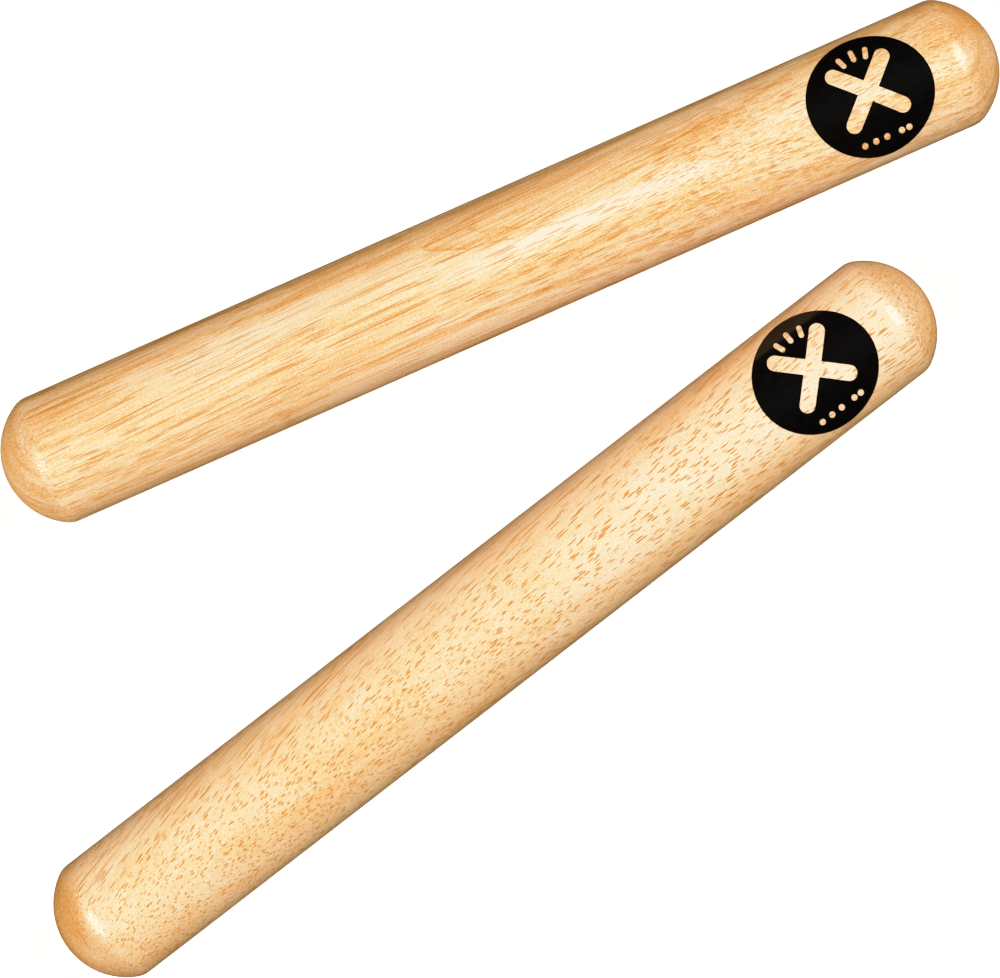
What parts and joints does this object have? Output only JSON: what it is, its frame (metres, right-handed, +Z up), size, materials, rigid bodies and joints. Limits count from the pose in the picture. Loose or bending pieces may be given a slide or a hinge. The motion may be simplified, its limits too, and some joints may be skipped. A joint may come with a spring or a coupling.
{
  "type": "claves",
  "caption": "Pair of turned hardwood claves with domed ends and a round printed badge near one end, one resting and one swinging in to strike it.",
  "frame": {"origin": "middle of the pair's outline seen from above, on the plane that both sticks lie on", "axes": "+X along the resting clave towards its badge end, +Z up towards the badges, so -Y is the side where the striking clave lies"},
  "size_m": [0.2286, 0.1086, 0.0255],
  "materials": {
    "resting_wood": "pale streaked hardwood under clear gloss lacquer",
    "striking_wood": "pale hardwood with short brown pores under clear gloss lacquer",
    "badge_ink": "black ink under clear gloss lacquer"
  },
  "bodies": {
    "resting_clave": {"resting_clave_stick": "resting_wood", "resting_clave_badge": "badge_ink"},
    "striking_clave": {"striking_clave_stick": "striking_wood", "striking_clave_badge": "badge_ink"}
  },
  "joints": [
    {"name": "strike_swing", "type": "hinge", "parent": "resting_clave", "child": "striking_clave", "pos_m": [-0.08925, -0.038, 0.0127], "axis": [0, 0, 1], "range_deg": [-60, 4.9]}
  ]
}
